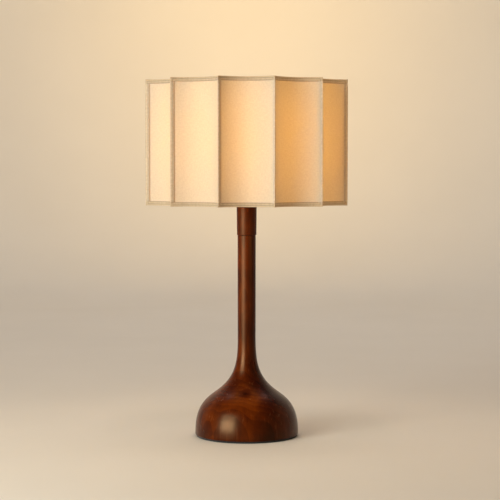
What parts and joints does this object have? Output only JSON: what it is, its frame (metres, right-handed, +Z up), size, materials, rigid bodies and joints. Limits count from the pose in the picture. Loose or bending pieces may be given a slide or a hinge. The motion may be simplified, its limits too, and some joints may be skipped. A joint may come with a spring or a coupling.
{
  "type": "table lamp with shade",
  "caption": "Table lamp with a turned dark walnut bell base and slim stem, and a scalloped drum shade of cream fabric panels edged with tape.",
  "frame": {"origin": "on the lamp's axis at the surface it stands on, at the underside of the felt", "axes": "+Z up the stem, -Y to the front, +Y to the cord inlet at the back, +X to the right seen from the front"},
  "size_m": [0.3424, 0.3424, 0.61],
  "materials": {
    "walnut": "satin oiled dark walnut",
    "felt": "black wool felt",
    "cast_iron": "rough casting",
    "steel": "zinc plated",
    "black_plastic": "moulded",
    "white_plastic": "moulded",
    "brass": "satin brass plate",
    "cardboard": "fibre sleeve",
    "bulb_metal": "rolled",
    "shade_fabric": "fine plain weave on a clear backing",
    "shade_tape": "ribbed cotton tape",
    "white_wire": "powder coated wire",
    "bulb_glass": "frosted, lit from inside"
  },
  "bodies": {
    "stand": {"lamp_body": "walnut", "stem_collar": "walnut", "base_felt": "felt", "base_weight": "cast_iron", "weight_washer": "steel", "weight_nut": "steel", "threaded_rod": "steel", "terminal_screw_left": "steel", "terminal_screw_right": "steel", "cord_gland": "black_plastic", "gland_nut": "black_plastic", "socket_core": "black_plastic", "terminal_block": "white_plastic", "internal_lead": "white_plastic", "neck_washer": "brass", "harp_saddle": "brass", "harp": "brass", "socket_cap": "brass", "socket_shell": "brass", "screw_shell": "brass", "center_contact": "brass", "socket_liner": "cardboard"},
    "shade": {"shade_panel_01": "shade_fabric", "shade_panel_02": "shade_fabric", "shade_panel_03": "shade_fabric", "shade_panel_04": "shade_fabric", "shade_panel_05": "shade_fabric", "shade_panel_06": "shade_fabric", "shade_panel_07": "shade_fabric", "shade_panel_08": "shade_fabric", "shade_panel_09": "shade_fabric", "shade_panel_10": "shade_fabric", "shade_panel_11": "shade_fabric", "shade_panel_12": "shade_fabric", "rib_tape_01": "shade_tape", "rib_tape_02": "shade_tape", "rib_tape_03": "shade_tape", "rib_tape_04": "shade_tape", "rib_tape_05": "shade_tape", "rib_tape_06": "shade_tape", "rib_tape_07": "shade_tape", "rib_tape_08": "shade_tape", "rib_tape_09": "shade_tape", "rib_tape_10": "shade_tape", "rib_tape_11": "shade_tape", "rib_tape_12": "shade_tape", "top_tape": "shade_tape", "bottom_tape": "shade_tape", "shade_cage": "white_wire", "shade_spider": "white_wire"},
    "finial": {"finial": "brass"},
    "bulb": {"bulb_cap": "bulb_metal", "bulb_insulator": "black_plastic", "bulb_contact": "steel", "bulb_glass": "bulb_glass"},
    "switch": {"switch_knob": "black_plastic"},
    "left_sleeve": {"harp_sleeve_left": "brass"},
    "right_sleeve": {"harp_sleeve_right": "brass"}
  },
  "joints": [
    {"name": "shade_turn", "type": "hinge", "parent": "stand", "child": "shade", "pos_m": [0, 0, 0.59], "axis": [0, 0, 1], "continuous": true},
    {"name": "finial_turn", "type": "hinge", "parent": "stand", "child": "finial", "pos_m": [0, 0, 0.598], "axis": [0, 0, 1], "continuous": true},
    {"name": "switch_turn", "type": "hinge", "parent": "stand", "child": "switch", "pos_m": [0, -0.03, 0.436], "axis": [0, -1, 0], "continuous": true},
    {"name": "bulb_turn", "type": "hinge", "parent": "stand", "child": "bulb", "pos_m": [0, 0, 0.5], "axis": [0, 0, 1], "range_deg": [0, 1440]},
    {"name": "left_sleeve_lift", "type": "slide", "parent": "stand", "child": "left_sleeve", "axis": [0, 0, 1], "range_m": [0, 0.012]},
    {"name": "right_sleeve_lift", "type": "slide", "parent": "stand", "child": "right_sleeve", "axis": [0, 0, 1], "range_m": [0, 0.012]}
  ]
}
